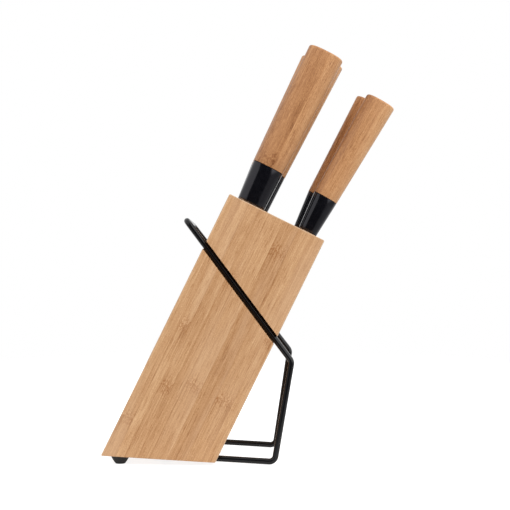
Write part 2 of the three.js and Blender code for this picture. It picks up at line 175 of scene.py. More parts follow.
TONE_RANGE = (-1.0, 2.0)  # the tones at the two ends of a colour list
STRIP_GLUE = 0.45  # half the width of a glue line between two strips
STRIP_GLUE_DARKNESS = (1.0, 0.3, 0.75, 0.45)  # some joints are tighter than others
STRIP_STEP = 0.0004  # as a part of the pattern's width: a strip's own tones end this near its edge
LAYER_GLUE = (0.12, 0.04)  # where the glue between two layers begins and where it is full
KNUCKLE_REACH = 260.0  # knuckles lie within this far of a frame's origin
KNUCKLE_WAVE = 8.0
BLUSH = 0.32
# The colour of the painted highlight along the block's outer edges.
EDGE_HIGHLIGHT_COLOUR = (0.56, 0.44, 0.32, 1)

# From the darkest streak to the lightest.
BLOCK_COLOURS = (
    (0.00, (0.170, 0.065, 0.021)),
    (0.32, (0.331, 0.152, 0.056)),
    (0.54, (0.495, 0.274, 0.130)),
    (0.68, (0.615, 0.381, 0.206)),
    (0.78, (0.687, 0.454, 0.264)),
    (0.88, (0.760, 0.532, 0.334)),
    (1.00, (0.833, 0.616, 0.424)),
)
HANDLE_COLOURS = (
    (0.00, (0.117, 0.035, 0.008)),
    (0.22, (0.217, 0.080, 0.025)),
    (0.36, (0.324, 0.139, 0.050)),
    (0.46, (0.393, 0.184, 0.072)),
    (0.56, (0.467, 0.230, 0.095)),
    (0.68, (0.536, 0.284, 0.126)),
    (0.85, (0.623, 0.364, 0.184)),
    (1.00, (0.691, 0.444, 0.262)),
)

# A cheek's strips, front to back: width, tones, and its knuckle's height, from the top face.
CHEEK_STRIPS = (
    (10.5, 0.72, 0.71, 0.44, -197),
    (7.1, 0.63, 0.79, 0.66, -110),
    (9.3, 0.52, 0.62, 0.64, -161),
    (8.6, 0.39, 0.51, 0.74, -60),
    (13.0, 0.55, 0.64, 0.72, -150),
    (13.5, 0.35, 0.39, 0.45, -25),
    (14.5, 0.54, 0.64, 0.50, -151),
    (8.3, 0.76, 0.46, 0.69, -92),
)
# The strips of every other board, starting further along from one board to the next.
INNER_STRIPS = (
    (14.0, 0.52, 0.62, 0.48, -120),
    (9.5, 0.80, 0.70, 0.85, -36),
    (16.0, 0.45, 0.38, 0.48, -188),
    (11.0, 0.60, 0.68, 0.56, -80),
    (13.5, 0.70, 0.45, 0.60, -210),
    (8.0, 0.40, 0.50, 0.46, -140),
    (15.0, 0.65, 0.80, 0.55, -55),
)
# Each handle's strips: the knuckles' heights are above the bottom of the ferrule, and one at more
# than the handle's length isn't on the handle. The tones rise towards +X: partly the strips' own
# tones, partly painted light on that side and painted shade on the other.
HANDLE_STRIPS_AND_SIDE_LIGHT = {
    "chef": (
        (8.0, 0.10, 0.22, 0.24, 240),
        (10.5, 0.26, 0.30, 0.28, 39),
        (12.5, 0.42, 0.62, 0.84, 240),
    ),
    "bread": (
        (10.0, 0.45, 0.55, 0.45, 95),
        (12.0, 0.70, 0.60, 0.50, 60),
        (8.0, 0.80, 0.95, 1.05, 240),
    ),
    "carving": (
        (9.0, 0.35, 0.45, 0.30, 62),
        (10.0, 0.55, 0.50, 0.60, 230),
        (11.0, 0.80, 0.90, 0.95, 90),
    ),
    "utility": (
        (9.5, -0.20, 0.00, 0.20, 210),
        (9.0, 0.34, 0.50, 0.66, 230),
        (11.5, 0.90, 1.12, 1.25, 240),
    ),
    "paring": (
        (11.0, 0.00, 0.06, 0.16, 240),
        (10.0, 0.40, 0.50, 0.40, 210),
        (9.0, 0.55, 0.45, 0.60, 100),
    ),
}
HANDLE_STRIPS_START = -15  # where the first strip begins, in X
HANDLE_LOOK = {"fibre": 1.5, "roughness": 0.45, "glued": 0.25}
KNIFE_SEED = 7  # the boards' seeds are 0 to 5
STRIP_SEED = 20


# ---- frames --------------------------------------------------------------------------------------

def vertices(node):
    """A CAD node's vertices at rest, in the row frame, in metres."""
    mesh = frame["nodes"][node].data
    flat = np.empty(len(mesh.vertices) * 3)
    mesh.vertices.foreach_get("co", flat)
    return flat.reshape(-1, 3)


def board_vertices():
    """The vertices of all six boards together."""
    return np.concatenate([vertices(f"{name}_board") for name in BOARDS])


class LocalFrame:
    """A leaning frame: Z up the grain, X towards the back of the block, Y across the block."""

    def __init__(self, lean, origin=(0, 0, 0)):
        self.lean = lean
        self.up = Vector((math.sin(lean), 0, math.cos(lean)))
        self.right = Vector((math.cos(lean), 0, -math.sin(lean)))
        self.origin = Vector(origin)

    def matrix(self):
        return Matrix.Translation(self.origin) @ Matrix.Rotation(self.lean, 4, "Y")

    def inside(self, points):
        """Points of the row frame, in this frame."""
        offset = np.asarray(points) - np.array(self.origin)
        across = offset @ np.array(self.right)
        along = offset @ np.array(self.up)
        return np.stack([across, offset[:, 1], along], axis=1)

    def moved(self, x, y, z):
        origin = self.origin + self.right * x + Vector((0, y, 0)) + self.up * z
        return LocalFrame(self.lean, origin)


def block_frame():
    """The block's frame, with its origin at the front edge of the top face."""
    base = LocalFrame(math.radians(90 - SLANT))
    spots = base.inside(board_vertices())
    return base.moved(spots[:, 0].min(), 0, spots[:, 2].max())


def knife_frame(knife):
    """A knife's frame: its origin is at the ferrule's bottom, under the middle of its top."""
    joint = next(j for j in frame["joints"] if j["child"] == f"{knife}_knife")
    base = LocalFrame(math.atan2(joint["axis"][0], joint["axis"][2]))
    spots = base.inside(vertices(f"{knife}_ferrule"))
    top = spots[spots[:, 2] > spots[:, 2].max() - 0.2 * MM]
    middle = (top.min(axis=0) + top.max(axis=0)) / 2
    return base.moved(middle[0], middle[1], spots[:, 2].min())


block = block_frame()
knives = {knife: knife_frame(knife) for knife in KNIVES}


# ---- materials -----------------------------------------------------------------------------------

class Recipe:
    """Short forms for building one material's nodes, or the world's."""

    def __init__(self, name, world=None):
        self.material = world or bpy.data.materials.new(name)
        self.material.use_nodes = True
        self.tree = self.material.node_tree
        self.shader = self.tree.nodes.get("Principled BSDF")

    def feed(self, socket, value):
        if isinstance(value, bpy.types.NodeSocket):
            self.tree.links.new(value, socket)
        else:
            socket.default_value = value

    def node(self, kind, inputs=(), **settings):
        made = self.tree.nodes.new(kind)
        for key, value in settings.items():
            setattr(made, key, value)
        for key, value in dict(inputs).items():
            self.feed(made.inputs[key], value)
        return made

    def calc(self, operation, a, b=0.0, c=0.0):
        made = self.node("ShaderNodeMath", {0: a, 1: b, 2: c}, operation=operation)
        return made.outputs[0]

    def place(self, local, unit=1 / MM):
        """Object coordinates in a leaning frame, in millimetres."""
        source = self.node("ShaderNodeTexCoord").outputs["Object"]
        turned = self.node("ShaderNodeMapping", {"Vector": source}, vector_type="TEXTURE")
        turned.inputs["Location"].default_value = local.origin
        turned.inputs["Rotation"].default_value = (0, local.lean, 0)
        scaled = self.node("ShaderNodeVectorMath", {0: turned.outputs[0]}, operation="SCALE")
        scaled.inputs["Scale"].default_value = unit
        return scaled.outputs[0]

    def split(self, vector):
        return self.node("ShaderNodeSeparateXYZ", {0: vector}).outputs

    def join(self, x, y, z):
        return self.node("ShaderNodeCombineXYZ", {0: x, 1: y, 2: z}).outputs[0]

    def noise(self, spot, across, along, detail, roughness, shift=(0, 0, 0)):
        """A noise that changes across and along Z at rates of its own, per unit of the spot."""
        stretched = self.node(
            "ShaderNodeVectorMath",
            {0: spot, 1: (across, across, along), 2: shift},
            operation="MULTIPLY_ADD",
        )
        inputs = {
            "Vector": stretched.outputs[0],
            "Scale": 1.0,
            "Detail": detail,
            "Roughness": roughness,
        }
        return self.node("ShaderNodeTexNoise", inputs).outputs["Fac"]

    def span(self, value, low, high, to_low=0.0, to_high=1.0, smooth=False):
        kind = "SMOOTHSTEP" if smooth else "LINEAR"
        inputs = {
            "Value": value,
            "From Min": low,
            "From Max": high,
            "To Min": to_low,
            "To Max": to_high,
        }
        return self.node("ShaderNodeMapRange", inputs, interpolation_type=kind).outputs[0]

    def ramp(self, value, stops, steps=False):
        """stops are (place, grey) or (place, (r, g, b))."""
        made = self.node("ShaderNodeValToRGB", {0: value})
        ramp = made.color_ramp
        ramp.interpolation = "CONSTANT" if steps else "LINEAR"
        while len(ramp.elements) < len(stops):
            ramp.elements.new(1.0)
        for element, (position, colour) in zip(ramp.elements, stops):
            element.position = position
            grey = (colour,) * 3 if isinstance(colour, (int, float)) else colour
            element.color = (*grey, 1)
        return made.outputs[0]

    def mix(self, factor, a, b):
        made = self.node("ShaderNodeMix", data_type="RGBA")
        self.feed(made.inputs["Factor"], factor)
        self.feed(made.inputs[6], a)
        self.feed(made.inputs[7], b)
        return made.outputs[2]

    def bump(self, height, strength, distance):
        inputs = {"Height": height, "Strength": strength, "Distance": distance}
        return self.node("ShaderNodeBump", inputs).outputs[0]

    def finish(self, **sockets):
        """Feeds the shader's sockets; an underscore stands for a space."""
        for key, value in sockets.items():
            self.feed(self.shader.inputs[key.replace("_", " ")], value)
        return self.material


def board_layers(r, x, y, total, seed, depth):
    """The layer that a point lies in, its X with the layer's strips moved, and the glue there."""
    outer, inwards, thickness = depth
    from_face = r.calc("MULTIPLY_ADD", y, inwards, OUTER_SKIN - outer * inwards)
    inside = r.calc("DIVIDE", from_face, thickness)
    layer = r.calc("FLOOR", inside)
    off_middle = r.calc("ABSOLUTE", r.calc("SUBTRACT", r.calc("FRACT", inside), 0.5))
    begins, full = LAYER_GLUE
    seam = r.span(off_middle, 0.5 - begins / thickness, 0.5 - full / thickness)
    key = r.calc("ADD", layer, seed * 7.0)
    chance = r.node("ShaderNodeTexWhiteNoise", {"W": key}, noise_dimensions="1D")
    below = r.calc("MINIMUM", r.calc("ABSOLUTE", layer), 1.0)
    slid = r.calc("MULTIPLY", r.calc("MULTIPLY", chance.outputs["Value"], total), below)
    return layer, r.calc("ADD", x, slid), seam


def strip_ramps(r, share, strips, total, seed, glued):
    """Each strip's tone, its own part of the noises, the height of its knuckle, and the glue."""
    tones, offsets, knuckles = [], [], []
    thin = STRIP_GLUE / total
    glue = [(0.0, glued), (thin, 0.0)]
    edge = 0.0
    for i, (width, first, centre, last, knuckle) in enumerate(strips):
        start, end = edge / total, (edge + width) / total
        tones += [(start + STRIP_STEP, first), ((start + end) / 2, centre)]
        tones.append((end - STRIP_STEP, last))
        offsets.append((start, (i * 0.37 + seed * 0.11) % 1.0))
        knuckles.append((start, (knuckle + KNUCKLE_REACH) / (2 * KNUCKLE_REACH)))
        if i:
            dark = glued * STRIP_GLUE_DARKNESS[i % 4]
            glue += [(start - thin, 0.0), (start, dark), (start + thin, 0.0)]
        edge += width
    return (
        r.ramp(share, tones),
        r.ramp(share, offsets, steps=True),
        r.ramp(share, knuckles, steps=True),
        r.ramp(share, glue),
    )


def knuckle_marks(r, z, knuckle, wave, speckle, veins):
    """A knuckle: a wavy line across the strip in a cloud of dark specks, a pale crest, and veins.

    The line is at the knuckle's height, the crest just above it and the veins below it. Distances
    are in millimetres.
    """
    height = r.calc("MULTIPLY_ADD", knuckle, 2 * KNUCKLE_REACH, -KNUCKLE_REACH)
    waved = r.calc("MULTIPLY_ADD", wave, KNUCKLE_WAVE, z)
    away = r.calc("SUBTRACT", waved, r.calc("ADD", height, KNUCKLE_WAVE / 2))
    distance = r.calc("ABSOLUTE", away)
    line = r.span(distance, 0.2, 1.2, 1.0, 0.0, smooth=True)
    from_crest = r.calc("ABSOLUTE", r.calc("SUBTRACT", away, 1.7))
    crest = r.span(from_crest, 0.3, 1.4, 1.0, 0.0, smooth=True)
    halo = r.span(distance, 0.5, 10.0, 1.0, 0.0, smooth=True)
    specks = r.calc("MULTIPLY", halo, r.span(speckle, 0.49, 0.60))
    mark = r.calc("MAXIMUM", r.calc("MULTIPLY", line, 0.4), specks)
    below = r.calc("MULTIPLY", r.span(away, -34.0, -6.0), r.span(away, -1.0, 0.0, 1.0, 0.0))
    return mark, crest, r.calc("MULTIPLY", below, r.span(veins, 0.52, 0.62))


def painted_edge_highlight(r, x, y, z, width, half, fibres):
    """How much painted highlight the bamboo gets: only along the edges of the block's outer faces.
    """
    to_side = r.calc("MINIMUM", x, r.calc("SUBTRACT", width, x))
    to_outline = r.calc("MINIMUM", to_side, r.calc("ABSOLUTE", z))
    to_face = r.calc("SUBTRACT", half, r.calc("ABSOLUTE", y))
    reach = r.calc("MAXIMUM", to_outline, to_face)
    return r.span(r.calc("MULTIPLY_ADD", fibres, 1.2, reach), 0.8, 1.9, 0.4, 0.0, smooth=True)


def bamboo(name, local, strips, colours, seed, depth=None, fibre=1.0, roughness=0.48, rim=None,
           glued=1.0):
    """Glued bamboo strips with the grain along local Z.

    strips are (width, tones at its start, middle and end, height of its knuckle), from low X to
    high X, repeated for ever. colours go from the darkest streak to the lightest. depth is (outer
    face Y, direction inwards, layer thickness): each layer below the outermost has its strips
    elsewhere. fibre is how strong the streaks are. rim is (board's width, half the block's width),
    for a pale painted highlight along the outer edges. glued is how dark the glue lines are.
    """
    r = Recipe(name)
    spot = r.place(local)
    x, y, z = r.split(spot)
    total = sum(strip[0] for strip in strips)
    layer, moved, seam = 0.0, x, 0.0
    if depth:
        layer, moved, seam = board_layers(r, x, y, total, seed, depth)
    share = r.calc("FRACT", r.calc("DIVIDE", moved, total))
    tone, offset, knuckle, glue = strip_ramps(r, share, strips, total, seed, glued)
    seams = r.calc("MAXIMUM", glue, seam)
    shift = r.join(
        r.calc("MULTIPLY", offset, 91.0),
        r.calc("MULTIPLY", layer, 17.3),
        r.calc("MULTIPLY_ADD", offset, 57.0, seed * 3.7),
    )
    noises = {key: r.noise(spot, *rates, shift) for key, rates in BAMBOO_NOISES.items()}
    mark, crest, veins = knuckle_marks(
        r, z, knuckle, noises["wave"], noises["speckle"], noises["veins"]
    )

    # The cut ends of the fibres drink more of the oil than their sides.
    normal = r.node("ShaderNodeTexCoord").outputs["Normal"]
    inputs = {0: normal, 1: tuple(local.up)}
    facing = r.node("ShaderNodeVectorMath", inputs, operation="DOT_PRODUCT").outputs["Value"]
    end_grain = r.span(r.calc("ABSOLUTE", facing), 0.6, 0.9)

    def vary(noise, amount, base):
        return r.calc("MULTIPLY_ADD", r.calc("SUBTRACT", noise, 0.5), amount, base)

    level = tone
    for key, swing in TONE_SWINGS.items():
        level = vary(noises[key], swing * fibre, level)
    level = vary(noises["clouds"], CLOUD_SWING, level)
    for part, amount in (
        (r.span(noises["bundles"], 0.57, 0.68), -0.50 * fibre),  # dark dashes
        (r.span(noises["bundles"], 0.40, 0.30), 0.30 * fibre),  # pale glints
        (mark, -0.68 * fibre),
        (crest, 0.15),
        (veins, -0.5),
        (seams, -0.5),
        (end_grain, -0.25),
    ):
        level = r.calc("MULTIPLY_ADD", part, amount, level)
    colour = r.ramp(r.span(level, *TONE_RANGE), colours)

    # The knuckles are a warmer brown, and some broad patches a little pinker.
    red, green, blue = colours[1][1]
    golden = (red, green * 0.82, blue * 0.6, 1)
    colour = r.mix(r.calc("MULTIPLY", mark, 0.5), colour, golden)
    middle_red, middle_green, middle_blue = colours[len(colours) // 2][1]
    pink = (middle_red * 0.99, middle_green * 1.04, middle_blue * 1.2, 1)
    blushed = r.span(noises["blush"], 0.42, 0.66, 0.0, BLUSH, smooth=True)
    colour = r.mix(blushed, colour, pink)
    if rim:
        # A pale painted highlight along the block's outer edges.
        edge_highlight = painted_edge_highlight(r, x, y, z, *rim, noises["fibres"])
        colour = r.mix(edge_highlight, colour, EDGE_HIGHLIGHT_COLOUR)

    rough = r.span(noises["fine"], 0.3, 0.7, roughness - 0.07, roughness + 0.10)
    grooves = r.calc("MULTIPLY_ADD", noises["fibres"], 0.6, noises["fine"])
    relief = r.calc("MULTIPLY_ADD", mark, -0.5, grooves)
    relief = r.calc("MULTIPLY_ADD", seams, -0.6, relief)
    return r.finish(Base_Color=colour, Roughness=rough, Normal=r.bump(relief, 0.3, 0.00009))


def steel(name):
    """Satin steel with its grinding marks running from the spine to the edge."""
    r = Recipe(name)
    spot = r.place(LocalFrame(0.0))
    marks = r.noise(spot, 0.012, 0.75, 6.0, 0.7)
    clouds = r.noise(spot, 0.03, 0.012, 2.0, 0.5)
    wear = r.noise(spot, 0.12, 0.12, 5.0, 0.7)
    rough = r.calc("MULTIPLY_ADD", marks, 0.22, 0.10)
    rough = r.calc("MULTIPLY_ADD", r.span(wear, 0.55, 0.75), 0.05, rough)
    tone = r.calc("MULTIPLY_ADD", r.calc("SUBTRACT", clouds, 0.5), 0.25, marks)
    colour = r.ramp(tone, ((0.34, (0.60, 0.61, 0.625)), (0.66, (0.84, 0.845, 0.85))))
    r.finish(Base_Color=colour, Roughness=rough, Normal=r.bump(marks, 0.3, 0.00002))
    return r.finish(Metallic=1.0, Anisotropic=0.5)


def gloss_plastic(name):
    """Black plastic with faint ripples from the mould, duller where hands touch it."""
    r = Recipe(name)
    spot = r.place(LocalFrame(0.0))
    ripple = r.noise(spot, 0.35, 0.12, 2.0, 0.4)
    handling = r.noise(spot, 0.25, 0.25, 4.0, 0.65)
    rough = r.span(handling, 0.35, 0.75, 0.09, 0.18)
    colour = r.ramp(handling, ((0.3, (0.0026, 0.0026, 0.0038)), (0.8, (0.0055, 0.0055, 0.0075))))
    r.finish(Base_Color=colour, Roughness=rough, Normal=r.bump(ripple, 0.12, 0.0001))
    return r.finish(Specular_Tint=(0.94, 0.92, 1.0, 1))


def black_coat(name):
    """Satin black coating on the rod, very slightly grainy."""
    r = Recipe(name)
    spot = r.place(LocalFrame(0.0))
    grain = r.noise(spot, 3.5, 3.5, 3.0, 0.6)
    clouds = r.noise(spot, 0.12, 0.12, 3.0, 0.5)
    rough = r.calc("MULTIPLY_ADD", grain, 0.10, 0.10)
    colour = r.ramp(clouds, ((0.3, (0.0014, 0.0014, 0.0018)), (0.75, (0.004, 0.004, 0.0048))))
    r.finish(Base_Color=colour, Roughness=rough, Normal=r.bump(grain, 0.18, 0.00006))
    return r.finish(Specular_IOR_Level=0.4)


def foot_rubber(name):
    """Matte rubber, with a little dust."""
    r = Recipe(name)
    spot = r.place(LocalFrame(0.0))
    grain = r.noise(spot, 5.0, 5.0, 3.0, 0.6)
    dust = r.noise(spot, 0.6, 0.6, 4.0, 0.6)
    colour = r.ramp(dust, ((0.35, (0.010, 0.010, 0.010)), (0.75, (0.028, 0.027, 0.026))))
    rough = r.span(dust, 0.3, 0.7, 0.58, 0.78)
    return r.finish(Base_Color=colour, Roughness=rough, Normal=r.bump(grain, 0.25, 0.0001))


def zinc(name):
    """Mottled zinc plating on the screws."""
    r = Recipe(name)
    spot = r.place(LocalFrame(0.0))
    mottle = r.noise(spot, 1.2, 1.2, 4.0, 0.6)
    colour = r.ramp(mottle, ((0.3, (0.42, 0.43, 0.45)), (0.7, (0.60, 0.60, 0.60))))
    rough = r.span(mottle, 0.3, 0.7, 0.24, 0.42)
    return r.finish(Base_Color=colour, Roughness=rough, Metallic=1.0)


# ---- mesh tools ----------------------------------------------------------------------------------

def new_piece(name, mesh, material, body, slot, *nodes):
    """A piece that stands for CAD nodes, and a function that joins it to its body; slot is not
    used.

    The function is called once the piece is finished and in place.
    """
    piece = bpy.data.objects.new(name, mesh)
    bpy.context.scene.collection.objects.link(piece)
    mesh.materials.append(material)
    return piece, lambda: (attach(piece, body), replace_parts(piece, *nodes), piece)


def smooth_by_angle(mesh, degrees):
    """Smooth shading, with the edges sharper than the angle kept sharp."""
    mesh.shade_smooth()
    mesh.set_sharp_from_angle(angle=math.radians(degrees))


def rings_to_mesh(name, rings, loop=False):
    """Joins equal rings of points into one closed skin, capped, or looped to its first ring."""
    mesh = bpy.data.meshes.new(name)
    size, count = len(rings[0]), len(rings)
    points = [point for ring in rings for point in ring]
    faces = []
    for i in range(count if loop else count - 1):
        low, high = i * size, ((i + 1) % count) * size
        for k in range(size):
            following = (k + 1) % size
            faces.append((low + k, low + following, high + following, high + k))
    if not loop:
        faces.append(tuple(reversed(range(size))))
        faces.append(tuple(range((count - 1) * size, count * size)))
    mesh.from_pydata([tuple(p) for p in points], [], faces)
    mesh.validate()
    return mesh


def circle(radius):
    """Points round a circle, in the units of its radius."""
    angles = [2 * math.pi * k / TURNED_SIDES for k in range(TURNED_SIDES)]
    return [(radius * math.cos(angle), radius * math.sin(angle)) for angle in angles]


def oval_ring(middle, half_width, half_thickness, height):
    """One squared-oval section, in metres."""
    ring = []
    for k in range(OVAL_SIDES):
        angle = 2 * math.pi * k / OVAL_SIDES
        cos, sin = math.cos(angle), math.sin(angle)
        x = math.copysign(abs(cos) ** (2 / OVAL_POWER), cos)
        y = math.copysign(abs(sin) ** (2 / OVAL_POWER), sin)
        ring.append((middle + half_width * x, half_thickness * y, height))
    return ring


# ---- handles and ferrules ------------------------------------------------------------------------

def extents(spots, low, high):
    """Middle, half width and half thickness of the points between two heights."""
    part = spots[(spots[:, 2] >= low) & (spots[:, 2] <= high)]
    least, most = part.min(axis=0), part.max(axis=0)
    return np.array([
        (least[0] + most[0]) / 2, (most[0] - least[0]) / 2, (most[1] - least[1]) / 2
    ])


def lofted(name, start, end, low, high, profile):
    """A squared-oval solid between the sections at two heights.

    profile is (height, inset from the full section), in metres.
    """
    rings = []
    for height, inset in profile:
        blend = (height - low) / (high - low)
        middle, half_width, half_thickness = start + (end - start) * min(max(blend, 0), 1)
        rings.append(oval_ring(middle, half_width - inset, half_thickness - inset, height))
    return rings_to_mesh(name, rings)


def rounded_edge(height, radius, steps, falling=False):
    """Profile points of a rounded edge that closes at the given height."""
    points = []
    for i in range(steps + 1):
        angle = math.pi / 2 * i / steps
        drop = radius * (1 - math.sin(angle))
        inset = radius * (1 - math.cos(angle))
        points.append((height - drop, inset) if falling else (height + drop, inset))
    return points if falling else points[::-1]


def make_handle(knife, material):
    node = f"{knife}_handle"
    spots = knives[knife].inside(vertices(node))
    low, high = spots[:, 2].min(), spots[:, 2].max()
    near = 0.1 * MM
    crown, edge = HANDLE_CROWN * MM, HANDLE_ROUND * MM
    shoulder = high - crown
    start = extents(spots, low, low + near)
    end = extents(spots, shoulder - edge - near, shoulder - edge + near)
    profile = rounded_edge(low, HANDLE_FOOT_ROUND * MM, 3)
    profile += [(low + (shoulder - edge - low) * i / 10, 0) for i in range(1, 10)]
    profile += rounded_edge(shoulder, edge, 7, falling=True)
    reach = end[2]
    for i in range(1, 7):
        inset = edge + (reach - edge) * i / 7
        rise = crown * (1 - ((reach - inset) / (reach - edge)) ** 2)
        profile.append((shoulder + rise, inset))
    mesh = lofted(node, start, end, low, shoulder, profile)
    return new_piece(f"{knife}_grip", mesh, material, f"{knife}_knife", "handle_bamboo", node)


def make_ferrule(knife, material):
    node = f"{knife}_ferrule"
    spots = knives[knife].inside(vertices(node))
    low, high = spots[:, 2].min(), spots[:, 2].max()
    start = extents(spots, low + 0.5 * MM, low + 0.7 * MM)
    end = extents(spots, high - 0.1 * MM, high)
    bottom_round, top_round = FERRULE_ROUND
    profile = rounded_edge(low, bottom_round * MM, 5)
    profile += [(low + (high - low) * i / 6, 0) for i in range(1, 6)]
    profile += rounded_edge(high, top_round * MM, 3, falling=True)
    mesh = lofted(node, start, end, low, high, profile)
    return new_piece(f"{knife}_collar", mesh, material, f"{knife}_knife", "ferrule_black", node)


# ---- the rod -------------------------------------------------------------------------------------

def bend(before, corner, after, radius):
    """Points along a circular bend around a corner."""
    back = (before - corner).normalized()
    forward = (after - corner).normalized()
    turn = math.pi - back.angle(forward)
    start = corner + back * radius * math.tan(turn / 2)
    centre = corner + (back + forward).normalized() * radius / math.cos(turn / 2)
    axis = forward.cross(back).normalized()
    spoke = start - centre
    swings = [Matrix.Rotation(turn * i / BEND_STEPS, 3, axis) for i in range(BEND_STEPS + 1)]
    return [centre + swing @ spoke for swing in swings]


def rod_route():
    """The rod's middle line, from one end under the block round to the other."""
    spots = vertices("wire_stand") / MM
    inner = np.abs(spots[:, 1]) < STAND_HALF / 2
    bar = spots[inner & (spots[:, 0] < REAR_BAR_X + 2 * ROD_RADIUS)]
    bar = bar[bar[:, 2] < FRONT_BAR[1] / 2]
    rear = (REAR_BAR_X, (bar[:, 2].min() + bar[:, 2].max()) / 2)

    def side_frame(y, corners):
        places = (rear, *corners, FRONT_BAR)
        return [(Vector((x, y, z)), radius) for (x, z), radius in zip(places, BEND_RADII)]

    corners = side_frame(-STAND_HALF, RIGHT_FRAME) + side_frame(STAND_HALF, LEFT_FRAME)[::-1]
    start = Vector((rear[0], -ROD_END_GAP / 2, rear[1]))
    end = Vector((rear[0], ROD_END_GAP / 2, rear[1]))
    stops = [start] + [corner for corner, _ in corners] + [end]
    points = [start]
    for i, (corner, radius) in enumerate(corners):
        points += bend(stops[i], corner, stops[i + 2], radius)
    points.append(end)
    return points


def make_rod(material):
    """The whole stand, a round rod swept along its route."""
    curve = bpy.data.curves.new("rod_route", "CURVE")
    curve.dimensions = "3D"
    curve.bevel_depth = ROD_RADIUS * MM
    curve.bevel_resolution = 6
    curve.use_fill_caps = True
    points = rod_route()
    spline = curve.splines.new("POLY")
    spline.points.add(len(points) - 1)
    for point, place in zip(spline.points, points):
        point.co = (*(place * MM), 1)
    holder = bpy.data.objects.new("rod_route", curve)
    mesh = bpy.data.meshes.new_from_object(holder)
    bpy.data.objects.remove(holder)
    mesh.materials.clear()
    return new_piece("rod_stand", mesh, material, "block", "rod_black", "wire_stand")


# ---- the feet and their screws -------------------------------------------------------------------

def foot_centre(y):
    """The middle of the foot on the side of the given Y, on the floor, in millimetres."""
    return Vector((FOOT_PLACE[0], math.copysign(FOOT_PLACE[1], y), 0))


def foot_profile():
    """(radius, height) round the foot's section; a height of None is the block's underside."""
    first, brim = FOOT_PROFILE[0][0], FOOT_PROFILE[-1][0]
    outline = [(first - inset, height) for inset, height in FOOT_LIP] + list(FOOT_PROFILE)
    profile = [outline[0]]
    for (r0, z0), (r1, z1) in zip(outline, outline[1:]):
        profile += [((r0 + r1) / 2, (z0 + z1) / 2), (r1, z1)]
    recess, depth = FOOT_RECESS
    outwards, up = FOOT_CHAMFER
    profile += [(brim, None), (FOOT_HOLE, None), (FOOT_HOLE, depth), (recess, depth)]
    return profile + [(recess, up), (recess + outwards, 0.0)]


def make_foot(side, material):
    """A turned rubber foot, cut to the slope of the block's underside."""
    node = f"{side}_foot"
    spots = vertices(node) / MM
    x0, x1 = spots[:, 0].min(), spots[:, 0].max()
    front = spots[spots[:, 0] < x0 + 1][:, 2].max()
    back = spots[spots[:, 0] > x1 - 1][:, 2].max()
    slope = (back - front) / (x1 - x0)
    centre = foot_centre(spots[:, 1].mean())
    rings = []
    for radius, height in foot_profile():
        ring = []
        for x, y in circle(radius):
            top = front + slope * (centre.x + x - x0)
            z = top if height is None else min(height, top)
            ring.append((centre + Vector((x, y, z))) * MM)
        rings.append(ring)
    mesh = rings_to_mesh(node, rings, loop=True)
    return new_piece(f"{side}_rubber_foot", mesh, material, "block", "foot_rubber", node)


def cross_cutter(low):
    """Two crossed bars, narrowing upwards, that cut the recess of a screw."""
    cutter = bmesh.new()
    mouth, bottom = CROSS_LENGTH
    for turn in (0, math.pi / 2):
        arm = bmesh.ops.create_cube(cutter, size=1.0)["verts"]
        for vertex in arm:
            deep = vertex.co.z > 0
            vertex.co.x *= (bottom if deep else mouth) * MM
            vertex.co.y *= CROSS_WIDTH * MM
            vertex.co.z = (low + (CROSS_DEPTH if deep else -CROSS_START)) * MM
        bmesh.ops.rotate(cutter, verts=arm, matrix=Matrix.Rotation(turn, 3, "Z"))
    mesh = bpy.data.meshes.new("cross")
    cutter.to_mesh(mesh)
    cutter.free()
    cross = bpy.data.objects.new("cross", mesh)
    bpy.context.scene.collection.objects.link(cross)
    return cross


def make_screw(side, material):
    """A pan-head screw with a cross recess, seen from below in the foot's recess."""
    node = f"{side}_foot_screw"
    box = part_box(node)
    low, high = box[0][2] / MM, box[1][2] / MM
    head = (*SCREW_CROWN, (SCREW_HEAD, SCREW_HEAD_TOP - low))
    profile = [(radius, low + rise) for radius, rise in head]
    profile.append((SCREW_SHANK, SCREW_HEAD_TOP + 0.02))
    profile += [(SCREW_SHANK, high - SCREW_POINT), (0.15, high - 0.05)]
    rings = [
        [(x * MM, y * MM, height * MM) for x, y in circle(radius)] for radius, height in profile
    ]
    mesh = rings_to_mesh(node, rings)
    piece, join = new_piece(f"{side}_pan_screw", mesh, material, "block", "screw_steel", node)

    cross = cross_cutter(low)
    cut = piece.modifiers.new("cross", "BOOLEAN")
    cut.object = cross
    cut.operation = "DIFFERENCE"
    cut.solver = "EXACT"
    cut.use_self = True
    bpy.context.view_layer.update()
    evaluated = piece.evaluated_get(bpy.context.evaluated_depsgraph_get())
    finished = bpy.data.meshes.new_from_object(evaluated)
    piece.modifiers.clear()
    piece.data = finished
    bpy.data.objects.remove(cross)
    piece.location = foot_centre(box[0][1]) * MM
    return piece, join


# ---- the blades ----------------------------------------------------------------------------------

def quadratic(a, b, c, t):
    return a * (1 - t) ** 2 + 2 * b * t * (1 - t) + c * t * t


def solve_quadratic(z0, z1, z2, z):
    """The parameter at which a quadratic curve's height is z."""
    low, high = 0.0, 1.0
    for _ in range(40):
        middle = (low + high) / 2
        if (quadratic(z0, z1, z2, middle) - z) * (z2 - z0) > 0:
            high = middle
        else:
            low = middle
    return (low + high) / 2


def serrated_edge(length, width, tip, z):
    """The bread knife's edge: a nearly square end, then hollows between points."""
    first = -length + SERRATION_PITCH
    if z < first:
        return quadratic(tip, width * 0.75, width, solve_quadratic(-length, -length + 1, first, z))
    phase = (z - first) / SERRATION_PITCH
    last = math.floor((length - SERRATION_PITCH - SERRATION_END) / SERRATION_PITCH)
    if phase < last:
        return quadratic(width, width - 2 * SERRATION_DEPTH, width, phase % 1.0)
    return width


def plain_edge(length, width, tip, z):
    """A straight edge that curves up to the tip."""
    start, middle, belly = EDGE_CURVE
    if z < -length * start:
        t = solve_quadratic(-length, -length * middle, -length * start, z)
        return quadratic(tip, width * belly, width, t)
    return width


